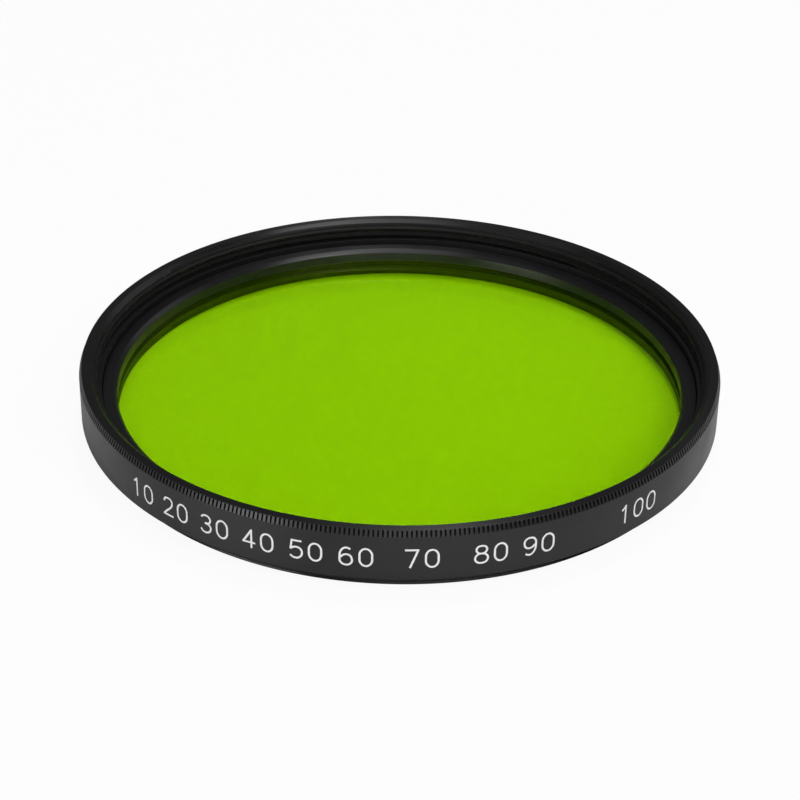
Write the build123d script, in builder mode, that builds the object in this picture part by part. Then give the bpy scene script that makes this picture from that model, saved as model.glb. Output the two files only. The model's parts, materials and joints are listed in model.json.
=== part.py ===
from build123d import *
import math
import os

# Contrast filter: a coloured glass disc in a turned ring that screws onto a lens.
# Millimetres. +Z runs along the optical axis, from the lens towards the scene.
# The origin is on the axis, at the rear end of the thread, where the filter rests.

# Driving dimensions, across the axis
thread_diameter = 67.0  # nominal size of the front and of the rear thread
thread_pitch = 0.75
thread_play = 0.05  # how far the rear thread's crest lies under the nominal radius
rim_wall = 1.5  # from the nominal thread radius out to the plain wall
floor_step = 0.45  # front thread's crest in to the bore for the retaining ring
pocket_step = 0.5  # bore for the retaining ring in to the pocket for the glass
glass_play = 0.1  # all round the glass in its pocket
retainer_play = 0.05  # all round the retaining ring in its bore
seat_overlap = 1.0  # how far the seat reaches in under the glass
retainer_width = 1.6  # of the retaining ring, across its face

# Driving dimensions, along the axis
seat_thickness = 1.1  # rear end to the seat's face under the glass
glass_thickness = 2.0
retainer_thickness = 1.45
retainer_setback = 0.65  # retaining ring's face to the floor of the front thread
retainer_run_out = 0.4  # the retaining ring's bore goes this far past its seat on the glass
front_thread_depth = 2.2  # front face to the floor of the front thread
sleeve_length = 1.6  # how far the rear thread stands out behind the rim

# Knurled grip
grip_height = 0.75
grip_set_in = 0.15  # of the teeth's tips under the plain wall
knurl_pitch = 0.466
knurl_gap = 0.22  # width of a groove at the tips
knurl_depth = 0.3

# Edges
front_lead_in = 0.77  # mouth of the front thread
rim_chamfer = 0.2  # corner between the plain wall and the rim's rear face
sleeve_chamfer = 0.2  # end of the rear thread
relief_width = 0.3  # undercut between the rear thread and the rim
relief_depth = 0.4
edge_break = 0.12  # rear edge of the bore behind the glass
glass_bevel = 0.2
retainer_bevel = 0.4  # inner edge of the retaining ring's face
retainer_edge_break = 0.08  # and its outer edge

# Radii that follow from them
crest_height = 5 / 8 * math.sqrt(3) / 2 * thread_pitch
thread_radius = thread_diameter / 2
rim_radius = thread_radius + rim_wall
tip_radius = rim_radius - grip_set_in
groove_radius = tip_radius - knurl_depth
sleeve_radius = thread_radius - thread_play
front_bore_radius = thread_radius - crest_height
retainer_bore_radius = front_bore_radius - floor_step
pocket_radius = retainer_bore_radius - pocket_step
glass_radius = pocket_radius - glass_play
aperture_radius = glass_radius - seat_overlap
retainer_radius = retainer_bore_radius - retainer_play
knurl_count = round(2 * math.pi * tip_radius / knurl_pitch)

# Heights that follow from them, from the rear end of the sleeve
glass_front_z = seat_thickness + glass_thickness
retainer_front_z = glass_front_z + retainer_thickness
thread_floor_z = retainer_front_z + retainer_setback
front_z = thread_floor_z + front_thread_depth
grip_z = front_z - grip_height
relief_z = sleeve_length - relief_width

os.makedirs("parts", exist_ok=True)


def knurl_corners():
    """Corners of the grip's section: the sides of each groove, with its bottom between them."""
    half_gap = math.degrees(knurl_gap / 2 / tip_radius)
    corners = []
    for groove in range(knurl_count):
        middle = 360 * groove / knurl_count
        for radius, angle in (
            (tip_radius, middle - half_gap),
            (groove_radius, middle),
            (tip_radius, middle + half_gap),
        ):
            corners.append(Vector(radius, 0).rotate(Axis.Z, angle))
    return corners


# Frame: one turned aluminium ring with both threads, the seat and the grip
with BuildPart() as frame_ring:
    # Grip band with straight knurling: flat-topped teeth with narrow V grooves between them
    with BuildSketch(Plane.XY.offset(grip_z)):
        with BuildLine():
            Polyline(*knurl_corners(), close=True)
        make_face()
        Circle(front_bore_radius + front_lead_in, mode=Mode.SUBTRACT)
    extrude(amount=grip_height)

    # Turned section, from the rear face out over the rim and back through the bores
    with BuildSketch(Plane.XZ):
        with BuildLine():
            Polyline(
                (aperture_radius + edge_break, 0),
                (sleeve_radius - sleeve_chamfer, 0),
                (sleeve_radius, sleeve_chamfer),
                (sleeve_radius, relief_z),
                (sleeve_radius - relief_depth, relief_z),
                (sleeve_radius - relief_depth, sleeve_length),
                (rim_radius - rim_chamfer, sleeve_length),
                (rim_radius, sleeve_length + rim_chamfer),
                (rim_radius, grip_z),
                (groove_radius, grip_z),
                (groove_radius, front_z),
                (front_bore_radius + front_lead_in, front_z),
                (front_bore_radius, front_z - front_lead_in),
                (front_bore_radius, thread_floor_z),
                (retainer_bore_radius, thread_floor_z),
                (retainer_bore_radius, glass_front_z - retainer_run_out),
                (pocket_radius, glass_front_z - retainer_run_out),
                (pocket_radius, seat_thickness),
                (aperture_radius, seat_thickness),
                (aperture_radius, edge_break),
                close=True,
            )
        make_face()
    revolve(axis=Axis.Z)
frame_ring.part.label = "frame_ring"

# Glass: a flat dyed disc with ground bevels, resting on the seat
with BuildPart() as glass:
    with BuildSketch(Plane.XY.offset(seat_thickness)):
        Circle(glass_radius)
    extrude(amount=glass_thickness)
    chamfer(glass.edges().filter_by(GeomType.CIRCLE), glass_bevel)
glass.part.label = "glass"

# Retaining ring: screwed in from the front until it holds the glass on its seat
with BuildPart() as retaining_ring:
    with BuildSketch(Plane.XY.offset(glass_front_z)):
        Circle(retainer_radius)
        Circle(retainer_radius - retainer_width, mode=Mode.SUBTRACT)
    extrude(amount=retainer_thickness)
    front_face = retaining_ring.faces().sort_by(Axis.Z)[-1]
    inner_edge, outer_edge = front_face.edges().sort_by(SortBy.RADIUS)
    chamfer(inner_edge, retainer_bevel)
    chamfer(outer_edge, retainer_edge_break)
retaining_ring.part.label = "retaining_ring"

for piece in (frame_ring, glass, retaining_ring):
    export_step(piece.part, f"parts/{piece.part.label}.step")
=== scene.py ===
import json
import math

import bmesh
import bpy
from mathutils import Matrix, Vector


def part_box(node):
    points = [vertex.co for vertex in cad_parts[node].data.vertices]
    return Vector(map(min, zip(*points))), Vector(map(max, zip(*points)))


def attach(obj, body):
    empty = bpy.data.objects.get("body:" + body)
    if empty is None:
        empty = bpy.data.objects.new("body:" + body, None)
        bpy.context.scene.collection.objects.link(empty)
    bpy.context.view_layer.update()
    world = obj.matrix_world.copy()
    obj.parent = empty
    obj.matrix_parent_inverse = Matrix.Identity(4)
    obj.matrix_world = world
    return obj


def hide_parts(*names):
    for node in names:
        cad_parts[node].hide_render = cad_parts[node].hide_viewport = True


# Contrast filter, front up on a white table: a yellow-green glass disc held by a
# retaining ring in a turned and black anodised ring with a knurled grip.
# Sizes are millimetres, measured from the axis and from the rear end of the thread,
# and MM turns them to metres.

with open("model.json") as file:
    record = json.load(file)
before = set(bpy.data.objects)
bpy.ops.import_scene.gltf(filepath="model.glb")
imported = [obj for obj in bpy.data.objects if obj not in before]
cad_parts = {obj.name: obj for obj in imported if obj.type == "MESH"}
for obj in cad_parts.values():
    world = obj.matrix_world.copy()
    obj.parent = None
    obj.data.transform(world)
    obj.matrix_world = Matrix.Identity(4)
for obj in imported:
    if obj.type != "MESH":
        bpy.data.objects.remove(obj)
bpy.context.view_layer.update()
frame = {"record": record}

MM = 0.001  # metres

# Sizes read from the frame
rim_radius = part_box("frame_ring")[1].x / MM
front_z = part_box("frame_ring")[1].z / MM
glass_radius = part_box("glass")[1].x / MM
seat_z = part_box("glass")[0].z / MM
glass_front_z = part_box("glass")[1].z / MM
retainer_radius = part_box("retaining_ring")[1].x / MM
retainer_front_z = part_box("retaining_ring")[1].z / MM
mount_sizes = {mount["name"]: mount["dims"] for mount in frame["record"]["mounts"]}
sleeve_radius = mount_sizes["rear_thread"]["r_mm"]
front_bore_radius = mount_sizes["front_thread"]["r_mm"]

# Threads of both ends
thread_pitch = 0.75
thread_depth = 0.3  # blunted crest to rounded root
front_thread_depth = 2.2  # front face to the floor of the front thread
front_thread_phase = 0.18  # of a pitch: puts the first crest where the photograph shows it
front_lead_in = 0.77  # mouth of the front thread

# Bores and seat, from the front thread inwards
floor_step = 0.45  # front thread's crest in to the bore for the retaining ring
pocket_step = 0.5  # that bore in to the pocket for the glass
retainer_run_out = 0.4  # the bore goes this far past the retaining ring's seat on the glass
seat_overlap = 1.0  # how far the seat reaches in under the glass
edge_break = 0.12  # rear edge of the bore behind the glass

# Rear sleeve and the rim's lower corner
sleeve_length = 1.6  # how far the rear thread stands out behind the rim
sleeve_chamfer = 0.2
relief_width = 0.3  # undercut between the rear thread and the rim
relief_depth = 0.4
rim_chamfer = 0.26
rim_ease = 0.15  # the upper edge of that chamfer, rounded by handling and polish
tool_ease = 0.05  # the turning tool's break on an outer corner
face_land = 0.1  # flat on the sleeve's end, next to its chamfer

# Knurled grip: straight grooves in the rim's bevelled front corner, under a smooth lip
grip_height = 0.7
grip_lean = 0.26  # how much further in the teeth's tips are at the front than at the wall
knurl_count = 470
knurl_gap = 0.2  # width of a groove
knurl_depth = 0.15  # at the lip; the groove's bottom is upright, so it is deeper at the wall
groove_run_out = 0.2  # height over which a groove's bottom slopes out to the wall
tooth_break = 0.03  # broken corner at the top of a tooth
tooth_lap = 0.12  # how far a tooth reaches into the ring
tooth_sink = 0.002  # how far its foot stays under the wall
lip_height = 0.04  # of the smooth edge above the grooves
lip_slope = 0.03  # height over which its underside runs back to the grooves' bottoms
lip_ease = 0.024  # its rounded corner
lip_land = 0.02  # flat on the front face, next to the lead-in

# Glass and retaining ring
glass_bevel = 0.2
glass_film = 0.015  # air between the glass and its seat, as on the real one
retainer_width = 1.6  # across its face
retainer_bevel = 0.4  # inner edge of its face
retainer_edge_break = 0.08  # and the outer edge

# White numerals on the plain wall: middle of each group in degrees from the front, and its text
numeral_height = 2.0
numeral_drop = 3.15  # front face down to the middle of the numerals
numeral_stroke = 0.22
numeral_dome = 0.06  # share of a stroke's round section that stands proud of the wall
numeral_groups = ((-39.5, "10 20 30"), (-14.8, "40 50 60"), (4.0, "70"), (19.3, "80 90"), (43.8, "100"))

# Fineness of the meshes
frame_columns = 1080
retainer_columns = 720
glass_columns = 360
sharp_angle = 12  # degrees between two faces, past which their edge is drawn sharp
seam_gap = 0.0002  # points nearer than this become one, at seams, poles and clamped thread turns
sliver_length = 0.0001  # edges shorter than this are dissolved
stroke_seam_gap = 0.002  # the same for the numerals' strokes

# The photograph's view: a long lens, a little under thirty degrees above the table
camera_elevation = 29.314  # degrees
camera_roll = 0.854
camera_distance = 241.65
camera_aim = Vector((0.061, -10.047, front_z))
camera_lens = 99.0  # focal length with the sensor below
sensor_width = 36.0

# Heights and radii that follow
grip_z = front_z - grip_height
lip_z = front_z - lip_height
tip_radius = rim_radius - grip_lean
root_radius = tip_radius - knurl_depth
mouth_radius = front_bore_radius + front_lead_in
thread_floor_z = front_z - front_thread_depth
retainer_bore_radius = front_bore_radius - floor_step
retainer_bore_z = glass_front_z - retainer_run_out
pocket_radius = retainer_bore_radius - pocket_step
aperture_radius = glass_radius - seat_overlap
relief_z = sleeve_length - relief_width
relief_radius = sleeve_radius - relief_depth
sleeve_end_radius = sleeve_radius - sleeve_chamfer
numeral_z = front_z - numeral_drop

# One turn of a thread's section: shares of the pitch and of the depth
THREAD_CORNERS = ((0.0, 0.0), (0.24, 0.0), (0.48, 0.9), (0.58, 1.0), (0.68, 0.9))

# Strokes of each numeral in a cell one high: rings close, smooth ones bend through their points
NUMERALS = {
    "0": (("ring", ((0.31, 1.0), (0.07, 0.86), (0.0, 0.5), (0.07, 0.14), (0.31, 0.0), (0.55, 0.14),
                    (0.62, 0.5), (0.55, 0.86))),),
    "1": (("line", ((0.12, 0.8), (0.33, 1.0), (0.33, 0.0))),),
    "2": (("smooth", ((0.02, 0.76), (0.11, 0.94), (0.31, 1.0), (0.53, 0.93), (0.59, 0.74), (0.49, 0.5),
                      (0.24, 0.26), (0.0, 0.0))), ("line", ((0.0, 0.0), (0.62, 0.0)))),
    "3": (("smooth", ((0.03, 0.86), (0.29, 1.0), (0.55, 0.9), (0.55, 0.63), (0.26, 0.53))),
          ("smooth", ((0.26, 0.53), (0.56, 0.45), (0.6, 0.2), (0.42, 0.02), (0.17, 0.02), (0.0, 0.17)))),
    "4": (("line", ((0.45, 0.0), (0.45, 1.0), (0.0, 0.28), (0.62, 0.28))),),
    "5": (("line", ((0.56, 1.0), (0.1, 1.0), (0.04, 0.52))),
          ("smooth", ((0.04, 0.52), (0.3, 0.64), (0.56, 0.54), (0.62, 0.3), (0.5, 0.07), (0.24, 0.0),
                      (0.0, 0.13)))),
    "6": (("smooth", ((0.54, 0.93), (0.3, 1.0), (0.09, 0.84), (0.0, 0.45), (0.06, 0.12), (0.31, 0.0),
                      (0.56, 0.11), (0.61, 0.34), (0.5, 0.56), (0.26, 0.6), (0.03, 0.42))),),
    "7": (("line", ((0.0, 1.0), (0.6, 1.0), (0.22, 0.0))),),
    "8": (("ring", ((0.31, 1.0), (0.08, 0.9), (0.08, 0.66), (0.31, 0.55), (0.54, 0.66), (0.54, 0.9))),
          ("ring", ((0.31, 0.55), (0.03, 0.42), (0.03, 0.13), (0.31, 0.0), (0.59, 0.13), (0.59, 0.42)))),
    "9": (("smooth", ((0.08, 0.07), (0.32, 0.0), (0.53, 0.16), (0.62, 0.55), (0.56, 0.88), (0.31, 1.0),
                      (0.06, 0.89), (0.01, 0.66), (0.12, 0.44), (0.36, 0.4), (0.59, 0.58))),),
}
# Shares of the height
CELL_WIDTH = 0.62
CELL_ADVANCE = 0.98  # from one cell to the next
SPACE_ADVANCE = 0.55


def srgb(code):
    """Linear colour from an sRGB hex value."""
    channels = [int(code[i:i + 2], 16) / 255 for i in (1, 3, 5)]
    linear = [c / 12.92 if c <= 0.04045 else ((c + 0.055) / 1.055) ** 2.4 for c in channels]
    return (*linear, 1.0)


def add_node(tree, kind, inputs=None, **settings):
    """A node with its settings; each input takes a value, or the output socket that feeds it."""
    node = tree.nodes.new(kind)
    for name, value in settings.items():
        setattr(node, name, value)
    for name, value in (inputs or {}).items():
        socket = node.inputs[name]
        if isinstance(value, bpy.types.NodeSocket):
            tree.links.new(value, socket)
        else:
            socket.default_value = value
    return node


def new_material(name):
    """An empty material and its node tree."""
    material = bpy.data.materials.new(name)
    material.use_nodes = True
    material.node_tree.nodes.clear()
    return material, material.node_tree


def new_object(name, data):
    """An object in the scene that holds the data, unturned at the origin."""
    item = bpy.data.objects.new(name, data)
    bpy.context.scene.collection.objects.link(item)
    return item


def turned_position(tree):
    """The place, and radius plus height in millimetres, which runs across the marks on every turned face."""
    place = add_node(tree, "ShaderNodeTexCoord").outputs["Object"]
    parts = add_node(tree, "ShaderNodeSeparateXYZ", {0: place}).outputs
    level = add_node(tree, "ShaderNodeCombineXYZ", {0: parts[0], 1: parts[1]}).outputs[0]
    radius = add_node(tree, "ShaderNodeVectorMath", {0: level}, operation="LENGTH").outputs["Value"]
    total = add_node(tree, "ShaderNodeMath", {0: radius, 1: parts[2]}, operation="ADD").outputs[0]
    return place, add_node(tree, "ShaderNodeMath", {0: total, 1: MM}, operation="DIVIDE").outputs[0]


def black_anodise(name, dye, roughness, streak=0.0, feed=0.09, ior=1.5):
    """Dyed anodised aluminium, turned: satin, its highlights drawn out across the tool marks by streak."""
    material, tree = new_material(name)
    place, across = turned_position(tree)
    # Tool marks at the lathe's feed, drawn coarser than the real few hundredths: a faint grain in the sheen
    line = add_node(tree, "ShaderNodeMath", {0: across, 1: feed}, operation="DIVIDE").outputs[0]
    marks = add_node(tree, "ShaderNodeTexNoise", {"W": line, "Scale": 1.0, "Detail": 3.0},
                     noise_dimensions="1D").outputs["Fac"]
    tone = add_node(tree, "ShaderNodeMix", {0: marks, 6: srgb(dye), 7: srgb("#17171a")},
                    data_type="RGBA").outputs[2]
    bump = add_node(tree, "ShaderNodeBump", {"Height": marks, "Strength": 0.25, "Distance": 0.004 * MM})
    # Clouding of the dyed oxide, a few millimetres wide: the sheen is a little uneven
    cloud = add_node(tree, "ShaderNodeTexNoise", {"Vector": place, "Scale": 1 / (4 * MM), "Detail": 4.0})
    rough = add_node(tree, "ShaderNodeMapRange", {
        "Value": cloud.outputs["Fac"], "From Min": 0.3, "From Max": 0.7,
        "To Min": roughness - 0.03, "To Max": roughness + 0.04})
    tangent = add_node(tree, "ShaderNodeTangent", direction_type="RADIAL", axis="Z")
    shader = add_node(tree, "ShaderNodeBsdfPrincipled", {
        "Base Color": tone, "Roughness": rough.outputs[0], "IOR": ior,
        "Anisotropic": streak, "Anisotropic Rotation": 0.25, "Tangent": tangent.outputs[0],
        "Normal": bump.outputs[0]})
    add_node(tree, "ShaderNodeOutputMaterial", {"Surface": shader.outputs[0]})
    return material


def filter_glass():
    """Dyed optical glass, polished and coated: clear, even yellow-green that hardly mirrors the room."""
    material, tree = new_material("dyed_glass_coated")
    # The coat, in nanometres, is a quarter wave of green light thick, and its IOR is near the glass's root
    shader = add_node(tree, "ShaderNodeBsdfPrincipled", {
        "Base Color": srgb("#8bb400"), "Roughness": 0.0, "IOR": 1.52, "Transmission Weight": 1.0,
        "Thin Film Thickness": 110.0, "Thin Film IOR": 1.27})
    add_node(tree, "ShaderNodeOutputMaterial", {"Surface": shader.outputs[0]})
    return material


def marking_enamel():
    """White enamel wiped into the engraving: a crisp half-matt white, a little uneven."""
    material, tree = new_material("white_marking_enamel")
    place = add_node(tree, "ShaderNodeTexCoord").outputs["Object"]
    wiped = add_node(tree, "ShaderNodeTexNoise", {"Vector": place, "Scale": 1 / (0.3 * MM), "Detail": 2.0})
    tone = add_node(tree, "ShaderNodeMix", {
        0: wiped.outputs["Fac"], 6: srgb("#e8e8e8"), 7: srgb("#ffffff")}, data_type="RGBA").outputs[2]
    shader = add_node(tree, "ShaderNodeBsdfPrincipled", {"Base Color": tone, "Roughness": 0.55})
    add_node(tree, "ShaderNodeOutputMaterial", {"Surface": shader.outputs[0]})
    return material


def eased(section):
    """The section's corners, each one that names an ease replaced by a small arc."""
    result = []
    for i, (radius, z, ease) in enumerate(section):
        corner = Vector((radius, z))
        if not ease:
            result.append(corner)
            continue
        before = Vector(section[i - 1][:2])
        after = Vector(section[(i + 1) % len(section)][:2])
        start = corner + (before - corner).normalized() * ease
        end = corner + (after - corner).normalized() * ease
        result += [start, (start + 2 * corner + end) / 4, end]
    return result


def plain_rows(section):
    """Rows of a turned mesh that keep their radius and height all the way round."""
    return [lambda turn, point=point: (point.x, point.y) for point in eased(section)]


def thread_rows(start, end, crest, depth, limit, phase=0.0):
    """Rows along the helix of a V thread between two heights, clamped there; limit trims each radius."""
    low, high = min(start, end), max(start, end)
    turns = math.ceil((high - low) / thread_pitch) + 1
    rows = []
    for k in range(-1, turns):
        for share, cut in THREAD_CORNERS:

            def row(turn, k=k, share=share, cut=cut):
                z = low + thread_pitch * (k + share + turn + phase)
                clamped = min(max(z, low), high)
                radius = crest + depth * cut if clamped == z else crest
                return limit(clamped, radius), clamped

            rows.append(row)
    return rows if start < end else rows[::-1]


def turned_mesh(name, rows, columns):
    """A closed turned mesh: each row gives radius and height along a turn, and the last joins the first."""
    bm = bmesh.new()
    grid = []
    for column in range(columns + 1):
        turn = column / columns
        angle = math.tau * turn
        ring = []
        for row in rows:
            radius, z = row(turn)
            ring.append(bm.verts.new(Vector((radius * math.cos(angle), radius * math.sin(angle), z)) * MM))
        grid.append(ring)
    for left, right in zip(grid, grid[1:]):
        for i in range(len(rows)):
            j = (i + 1) % len(rows)
            bm.faces.new((left[i], right[i], right[j], left[j]))
    bmesh.ops.remove_doubles(bm, verts=bm.verts, dist=seam_gap * MM)
    bmesh.ops.dissolve_degenerate(bm, edges=bm.edges, dist=sliver_length * MM)
    bmesh.ops.recalc_face_normals(bm, faces=bm.faces)
    mesh = bpy.data.meshes.new(name)
    bm.to_mesh(mesh)
    bm.free()
    mesh.shade_smooth()
    mesh.set_sharp_from_angle(angle=math.radians(sharp_angle))
    return mesh


def finished(mesh, materials, replaced=()):
    """The mesh as a piece of its own name: in place, riding on the one body."""
    piece = new_object(mesh.name, mesh)
    for material in materials:
        mesh.materials.append(material)
    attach(piece, "root")
    if replaced:
        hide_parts(*replaced)
    return piece


def frame_ring_rows():
    """The frame's section, from the rear face out over the rim and back through the bores."""
    def rear_limit(z, radius):
        return min(radius, sleeve_end_radius + max(z, 0))

    def mouth_limit(z, radius):
        return max(radius, mouth_radius - (front_z - z))

    return [
        *plain_rows([(aperture_radius + edge_break, 0, 0), (sleeve_end_radius - face_land, 0, 0)]),
        *thread_rows(0.0, relief_z, sleeve_radius, -thread_depth, rear_limit),
        *plain_rows([
            (relief_radius, relief_z, 0),
            (relief_radius, sleeve_length, 0),
            (rim_radius - rim_chamfer, sleeve_length, tool_ease),
            (rim_radius, sleeve_length + rim_chamfer, rim_ease),
            (rim_radius, grip_z, 0),
            (root_radius, grip_z + groove_run_out, 0),
            (root_radius, lip_z - lip_slope, 0),
            (tip_radius, lip_z, 0),
            (tip_radius, front_z, lip_ease),
            (mouth_radius + lip_land, front_z, 0),
        ]),
        *thread_rows(front_z, thread_floor_z, front_bore_radius, thread_depth, mouth_limit,
                     front_thread_phase),
        *plain_rows([
            (front_bore_radius, thread_floor_z, 0),
            (retainer_bore_radius, thread_floor_z, tool_ease),
            (retainer_bore_radius, retainer_bore_z, 0),
            (pocket_radius, retainer_bore_z, 0),
            (pocket_radius, seat_z, 0),
            (aperture_radius, seat_z, 0),
            (aperture_radius, edge_break, 0),
        ]),
    ]


def make_frame_ring(satin, matt, bore):
    """The frame in its three materials: satin on the wall, the lip and the sleeve; matt and darkened as
    painted shade in the front thread, in the knurl's grooves and on the lower corner; and matt black painted
    paler grey, as painted light, in the bore behind the glass."""
    mesh = turned_mesh("frame_ring_turned", frame_ring_rows(), frame_columns)
    for face in mesh.polygons:
        radius = math.hypot(face.center.x, face.center.y) / MM
        z = face.center.z / MM
        in_thread = radius < mouth_radius and seat_z < z < front_z - front_lead_in / 2
        in_grooves = radius > root_radius - tool_ease and grip_z < z < lip_z
        on_lower_corner = radius > sleeve_radius and z < sleeve_length + rim_chamfer
        # Bore: paler grey, painted light; thread, grooves and lower corner: darker matt, painted shade
        if radius < pocket_radius - tool_ease and z > edge_break / 2:
            face.material_index = 2
        elif in_thread or in_grooves or on_lower_corner:
            face.material_index = 1
    return finished(mesh, [satin, matt, bore], ["frame_ring"])


def make_glass(material):
    """The flat glass disc with its ground bevels, an air film above its seat."""
    rear_z = seat_z + glass_film
    section = [
        (0, rear_z, 0),
        (glass_radius - glass_bevel, rear_z, 0),
        (glass_radius, rear_z + glass_bevel, 0),
        (glass_radius, glass_front_z - glass_bevel, 0),
        (glass_radius - glass_bevel, glass_front_z, 0),
        (0, glass_front_z, 0),
    ]
    mesh = turned_mesh("filter_glass", plain_rows(section), glass_columns)
    piece = finished(mesh, [material], ["glass"])
    # Lamp light passes clear glass, so it darkens nothing behind it
    piece.visible_shadow = False
    return piece


def make_retaining_ring(material):
    """The thin ring on the glass, bevelled towards the light path."""
    inner = retainer_radius - retainer_width
    section = [
        (inner, glass_front_z, 0),
        (retainer_radius, glass_front_z, 0),
        (retainer_radius, retainer_front_z - retainer_edge_break, 0),
        (retainer_radius - retainer_edge_break, retainer_front_z, 0),
        (inner + retainer_bevel, retainer_front_z, tool_ease),
        (inner, retainer_front_z - retainer_bevel, tool_ease),
    ]
    mesh = turned_mesh("glass_retainer", plain_rows(section), retainer_columns)
    return finished(mesh, [material], ["retaining_ring"])


def tooth_mesh():
    """One tooth of the grip at the +X side: upright flanks, its tip leaning in from the wall to the lip."""
    half_width = math.pi * tip_radius / knurl_count - knurl_gap / 2
    section = [
        (rim_radius - tooth_sink, grip_z),
        (tip_radius, lip_z - tooth_break),
        (tip_radius - tooth_break, lip_z),
        (root_radius - tooth_lap, lip_z),
        (root_radius - tooth_lap, grip_z - tooth_lap),
        (rim_radius - tooth_lap, grip_z - tooth_lap),
    ]
    bm = bmesh.new()
    for radius, z in section:
        for side in (-half_width, half_width):
            bm.verts.new(Vector((radius, side, z)) * MM)
    bmesh.ops.convex_hull(bm, input=bm.verts)
    bmesh.ops.dissolve_limit(bm, angle_limit=0.01, verts=bm.verts, edges=bm.edges)
    bmesh.ops.recalc_face_normals(bm, faces=bm.faces)
    mesh = bpy.data.meshes.new("knurl_tooth")
    bm.to_mesh(mesh)
    bm.free()
    return mesh


def repeat_round_tree():
    """Geometry Nodes: copies of the piece's own mesh, evenly turned round the Z axis."""
    tree = bpy.data.node_groups.new("repeat_round", "GeometryNodeTree")
    sockets = {}
    for name, kind in (("Tooth", "NodeSocketGeometry"), ("Count", "NodeSocketInt"),
                       ("Material", "NodeSocketMaterial")):
        sockets[name] = tree.interface.new_socket(name=name, in_out="INPUT", socket_type=kind)
    tree.interface.new_socket(name="Ring", in_out="OUTPUT", socket_type="NodeSocketGeometry")
    given = add_node(tree, "NodeGroupInput").outputs
    points = add_node(tree, "GeometryNodePoints", {"Count": given["Count"]})
    index = add_node(tree, "GeometryNodeInputIndex").outputs[0]
    step = add_node(tree, "ShaderNodeMath", {0: math.tau, 1: given["Count"]}, operation="DIVIDE").outputs[0]
    angle = add_node(tree, "ShaderNodeMath", {0: index, 1: step}, operation="MULTIPLY").outputs[0]
    turn = add_node(tree, "ShaderNodeCombineXYZ", {2: angle})
    copies = add_node(tree, "GeometryNodeInstanceOnPoints", {
        "Points": points.outputs[0], "Instance": given["Tooth"], "Rotation": turn.outputs[0]})
    real = add_node(tree, "GeometryNodeRealizeInstances", {0: copies.outputs[0]})
    done = add_node(tree, "GeometryNodeSetMaterial", {0: real.outputs[0], "Material": given["Material"]})
    add_node(tree, "NodeGroupOutput", {0: done.outputs[0]})
    return tree, {name: socket.identifier for name, socket in sockets.items()}


def make_grip_teeth(material):
    """The grip's teeth as one mesh, all copies of one tooth."""
    tree, names = repeat_round_tree()
    source = new_object("one_tooth", tooth_mesh())
    repeat = source.modifiers.new("repeat_round", "NODES")
    repeat.node_group = tree
    repeat[names["Count"]] = knurl_count
    repeat[names["Material"]] = material
    evaluated = source.evaluated_get(bpy.context.evaluated_depsgraph_get())
    mesh = bpy.data.meshes.new_from_object(evaluated)
    source.modifiers.remove(repeat)
    bpy.data.objects.remove(source)
    mesh.name = "grip_knurling"
    mesh.materials.clear()
    return finished(mesh, [material], ["frame_ring"])


def numeral_strokes(text):
    """Strokes of a text set about the origin, each closed or not and its points, in millimetres."""
    line_pieces = 8  # a straight line is cut into so many, to follow the wall
    line_lap = 0.4 * numeral_stroke  # and runs this far past its ends, so that corners join
    advances = [SPACE_ADVANCE if letter == " " else CELL_ADVANCE for letter in text]
    x = (CELL_ADVANCE - CELL_WIDTH - sum(advances)) / 2
    strokes = []
    for letter, advance in zip(text, advances):
        for kind, points in NUMERALS.get(letter, ()):
            placed = [Vector((x + u, v - 0.5)) * numeral_height for u, v in points]
            if kind != "line":
                strokes.append((kind == "ring", placed))
                continue
            for start, end in zip(placed, placed[1:]):
                lap = (end - start).normalized() * line_lap
                shares = [i / line_pieces for i in range(line_pieces + 1)]
                strokes.append((False, [(start - lap).lerp(end + lap, share) for share in shares]))
        x += advance
    return strokes


def make_numerals(material):
    """Single-stroke numerals, laid flat as a curve and wrapped on the wall as slightly domed enamel."""
    curve = bpy.data.curves.new("numeral_strokes", "CURVE")
    curve.dimensions = "3D"
    curve.bevel_depth = numeral_stroke / 2
    curve.bevel_resolution = 2
    curve.resolution_u = 6
    curve.use_fill_caps = True
    for middle, text in numeral_groups:
        shift = math.radians(middle) * rim_radius
        for closed, points in numeral_strokes(text):
            spline = curve.splines.new("BEZIER")
            spline.bezier_points.add(len(points) - 1)
            spline.use_cyclic_u = closed
            for point, (u, v) in zip(spline.bezier_points, points):
                point.co = (u + shift, v, 0)
                point.handle_left_type = point.handle_right_type = "AUTO"
    flat = new_object("numeral_strokes", curve)
    mesh = bpy.data.meshes.new_from_object(flat.evaluated_get(bpy.context.evaluated_depsgraph_get()))
    bpy.data.objects.remove(flat)
    mesh.name = "wall_numerals"
    for vertex in mesh.vertices:
        angle = vertex.co.x / rim_radius
        radius = rim_radius + vertex.co.z * numeral_dome
        z = numeral_z + vertex.co.y
        vertex.co = Vector((radius * math.sin(angle), -radius * math.cos(angle), z)) * MM
    bm = bmesh.new()
    bm.from_mesh(mesh)
    bmesh.ops.remove_doubles(bm, verts=bm.verts, dist=stroke_seam_gap * MM)
    bmesh.ops.recalc_face_normals(bm, faces=bm.faces)
    bm.to_mesh(mesh)
    bm.free()
    mesh.materials.clear()
    mesh.shade_smooth()
    return finished(mesh, [material])


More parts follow.
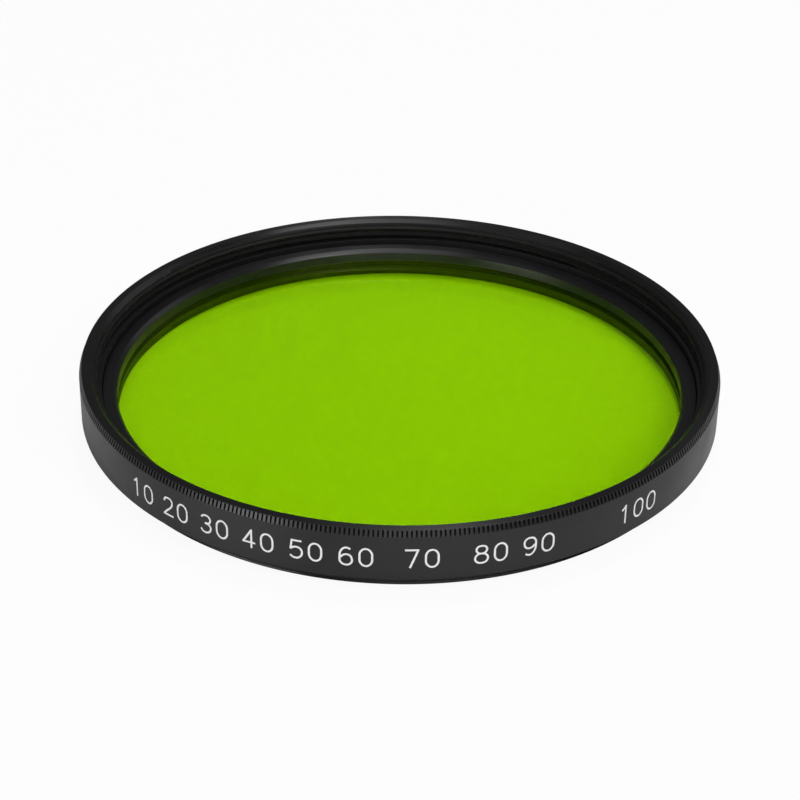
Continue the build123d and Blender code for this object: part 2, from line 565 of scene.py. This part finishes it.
def make_table():
    """White table: near white to the camera with a faint shadow, plain lit paper to everything else."""
    reach = 2500
    camera_share = 0.94  # of plain white in what the camera sees
    bm = bmesh.new()
    bmesh.ops.create_grid(bm, x_segments=8, y_segments=8, size=reach * MM)
    mesh = bpy.data.meshes.new("table")
    bm.to_mesh(mesh)
    bm.free()
    material, tree = new_material("white_table")
    seen = add_node(tree, "ShaderNodeLightPath").outputs["Is Camera Ray"]
    share = add_node(tree, "ShaderNodeMath", {0: seen, 1: camera_share}, operation="MULTIPLY").outputs[0]
    white = add_node(tree, "ShaderNodeEmission", {"Color": srgb("#ffffff"), "Strength": 1.0})
    paper = add_node(tree, "ShaderNodeBsdfDiffuse", {"Color": srgb("#f4f4f4")})
    mixed = add_node(tree, "ShaderNodeMixShader", {0: share, 1: paper.outputs[0], 2: white.outputs[0]})
    add_node(tree, "ShaderNodeOutputMaterial", {"Surface": mixed.outputs[0]})
    mesh.materials.append(material)
    new_object("table", mesh)


def make_world():
    """A white surround to the camera and through glass, and a dim grey studio for everything else."""
    world = bpy.data.worlds.new("studio")
    bpy.context.scene.world = world
    world.use_nodes = True
    tree = world.node_tree
    tree.nodes.clear()
    ray = add_node(tree, "ShaderNodeLightPath").outputs
    seen = add_node(tree, "ShaderNodeMath", {0: ray["Is Camera Ray"], 1: ray["Is Transmission Ray"]},
                    operation="MAXIMUM").outputs[0]
    white = add_node(tree, "ShaderNodeBackground", {"Color": srgb("#ffffff"), "Strength": 1.0})
    room = add_node(tree, "ShaderNodeBackground", {"Color": srgb("#ffffff"), "Strength": 0.1})
    mixed = add_node(tree, "ShaderNodeMixShader", {0: seen, 1: room.outputs[0], 2: white.outputs[0]})
    add_node(tree, "ShaderNodeOutputWorld", {"Surface": mixed.outputs[0]})


def add_softbox(name, azimuth, elevation, distance, size, watts):
    """A soft area lamp aimed at the object; azimuth 0 is in front of it and 90 on its right."""
    lamp = bpy.data.lights.new(name, "AREA")
    lamp.shape = "RECTANGLE"
    lamp.size, lamp.size_y = (edge * MM for edge in size)
    lamp.energy = watts
    a, e = math.radians(azimuth), math.radians(elevation)
    towards = Vector((math.sin(a) * math.cos(e), -math.cos(a) * math.cos(e), math.sin(e)))
    box = new_object(name, lamp)
    box.location = towards * distance * MM
    box.rotation_euler = towards.to_track_quat("Z", "Y").to_euler()


def make_camera():
    """The camera at the photograph's place, turned to its aim and rolled a little."""
    elevation, roll = math.radians(camera_elevation), math.radians(camera_roll)
    rise = camera_distance * math.sin(elevation)
    place = Vector((0, -camera_distance * math.cos(elevation), front_z + rise))
    back = (place - camera_aim).normalized()
    right = Vector((0, 0, 1)).cross(back).normalized()
    up = back.cross(right)
    rolled_right = right * math.cos(roll) + up * math.sin(roll)
    rolled_up = up * math.cos(roll) - right * math.sin(roll)
    data = bpy.data.cameras.new("camera")
    data.sensor_width = sensor_width
    data.lens = camera_lens
    data.clip_start = 0.01
    data.clip_end = 20.0
    camera = new_object("camera", data)
    turn = Matrix((rolled_right, rolled_up, back)).transposed().to_4x4()
    camera.matrix_world = Matrix.Translation(place * MM) @ turn
    bpy.context.scene.camera = camera


# Fine turned wall, lip and sleeve: deep black, its sheen drawn out across the tool marks
turned_black = black_anodise("black_anodise_fine_turned", "#0c0c0e", 0.36, streak=0.85)
# Cut thread, knurl grooves and lower corner: matt, its low IOR and darker dye painted shade, so a black with
# next to no sheen
matt_black_painted_shade = black_anodise("black_anodise_matt_thread", "#0a0a0b", 0.55, ior=1.3)
# Bore behind the glass: matt black painted paler grey, painted light for what reaches it through the glass,
# so that it shows as dark green
bore_painted_light = black_anodise("grey_anodise_matt_bore", "#5c5c5c", 0.5)
# Teeth of the grip: a small satin glint on each, between black grooves
knurled_black = black_anodise("black_anodise_knurled", "#101012", 0.34)
# Retaining ring: the finest turning, a smooth bright line round the glass
ring_black = black_anodise("black_anodise_thin_ring", "#0b0b0d", 0.34, streak=0.75, feed=0.07)

make_frame_ring(turned_black, matt_black_painted_shade, bore_painted_light)
make_grip_teeth(knurled_black)
make_glass(filter_glass())
make_retaining_ring(ring_black)
make_numerals(marking_enamel())

make_table()
make_world()
# Soft light from high in front, low light round the wall, and a strip for the far rim's highlight
add_softbox("softbox_front", 0, 58, 700, (400, 300), 0.75)
add_softbox("softbox_front_right", 40, 46, 700, (300, 350), 1.65)
add_softbox("softbox_right", 120, 30, 700, (500, 250), 0.3)
add_softbox("softbox_low_front", 5, 8, 700, (500, 120), 0.5)
add_softbox("softbox_low_left", -50, 9, 700, (400, 150), 1.15)
add_softbox("strip_behind", 163, 75, 600, (70, 120), 0.9)
make_camera()
bpy.context.scene.view_settings.view_transform = "Standard"
